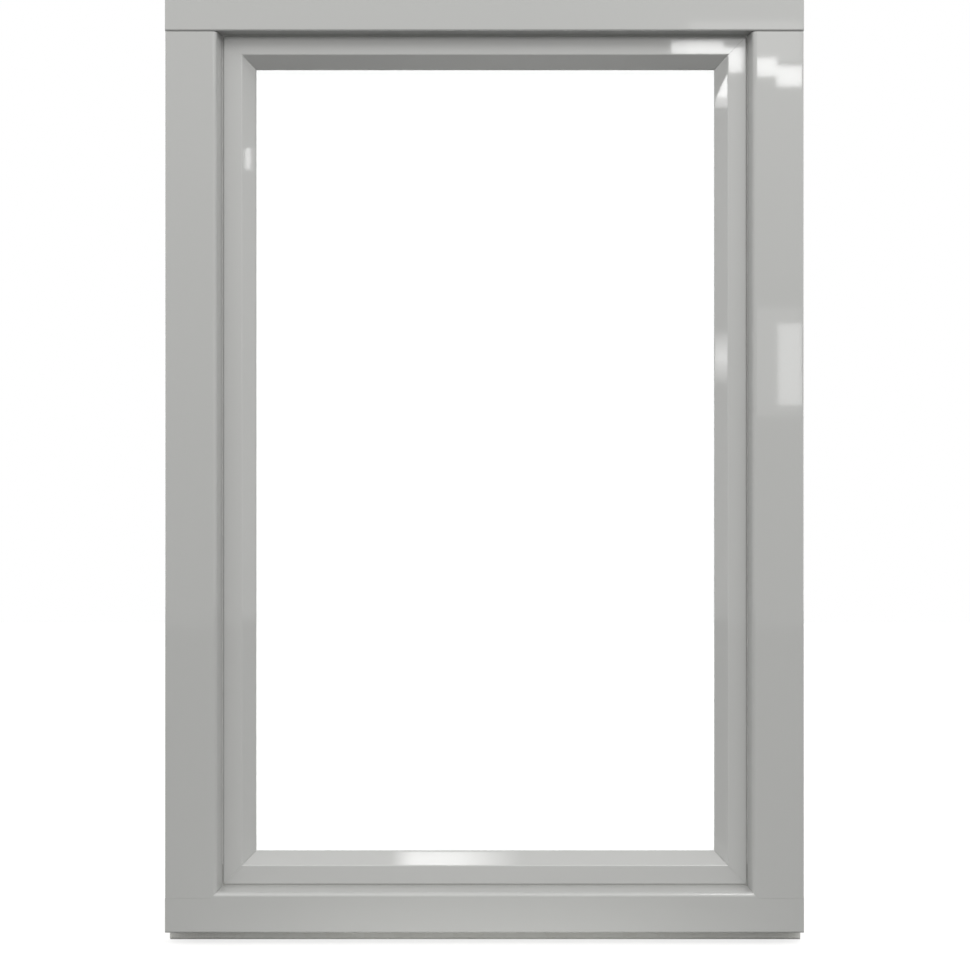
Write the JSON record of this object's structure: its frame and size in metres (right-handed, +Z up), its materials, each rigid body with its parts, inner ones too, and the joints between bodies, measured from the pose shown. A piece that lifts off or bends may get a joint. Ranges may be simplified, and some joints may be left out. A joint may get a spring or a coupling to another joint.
{
  "type": "fixed wood-aluminium window",
  "caption": "Upright fixed window: timber frame with grey aluminium cladding outside, mitred glazing beads and a sealed triple glazed unit.",
  "frame": {"origin": "middle of the timber frame's underside", "axes": "+Z up, -Y towards the outside (clad) face, +X to the right as seen from outside"},
  "size_m": [0.59, 0.13, 0.89],
  "materials": {
    "timber": "white painted pine",
    "cladding": "light grey gloss powder coat",
    "glass": "clear float glass",
    "spacer": "grey warm edge spacer",
    "sealant": "black sealant",
    "seal_rubber": "grey rubber",
    "light_rubber": "light grey rubber",
    "tape": "grey foam tape",
    "end_cap_plastic": "grey moulded plastic",
    "clip_plastic": "black moulded plastic"
  },
  "bodies": {
    "root": {"frame_head": "timber", "frame_sill": "timber", "frame_jamb_left": "timber", "frame_jamb_right": "timber", "inner_bead_top": "timber", "inner_bead_bottom": "timber", "inner_bead_left": "timber", "inner_bead_right": "timber", "head_cladding": "cladding", "sill_cladding": "cladding", "jamb_cladding_left": "cladding", "jamb_cladding_right": "cladding", "outer_bead_top": "cladding", "outer_bead_bottom": "cladding", "outer_bead_left": "cladding", "outer_bead_right": "cladding", "outer_pane": "glass", "middle_pane": "glass", "inner_pane": "glass", "outer_spacer": "spacer", "inner_spacer": "spacer", "edge_sealant": "sealant", "inner_glazing_seal": "seal_rubber", "outer_glazing_seal": "light_rubber", "joint_seal": "light_rubber", "glazing_tape": "tape", "head_end_cap_left": "end_cap_plastic", "head_end_cap_right": "end_cap_plastic", "sill_end_cap_left": "end_cap_plastic", "sill_end_cap_right": "end_cap_plastic", "cladding_clips_head": "clip_plastic", "cladding_clips_sill": "clip_plastic", "cladding_clips_left": "clip_plastic", "cladding_clips_right": "clip_plastic", "setting_blocks": "clip_plastic"}
  },
  "joints": []
}
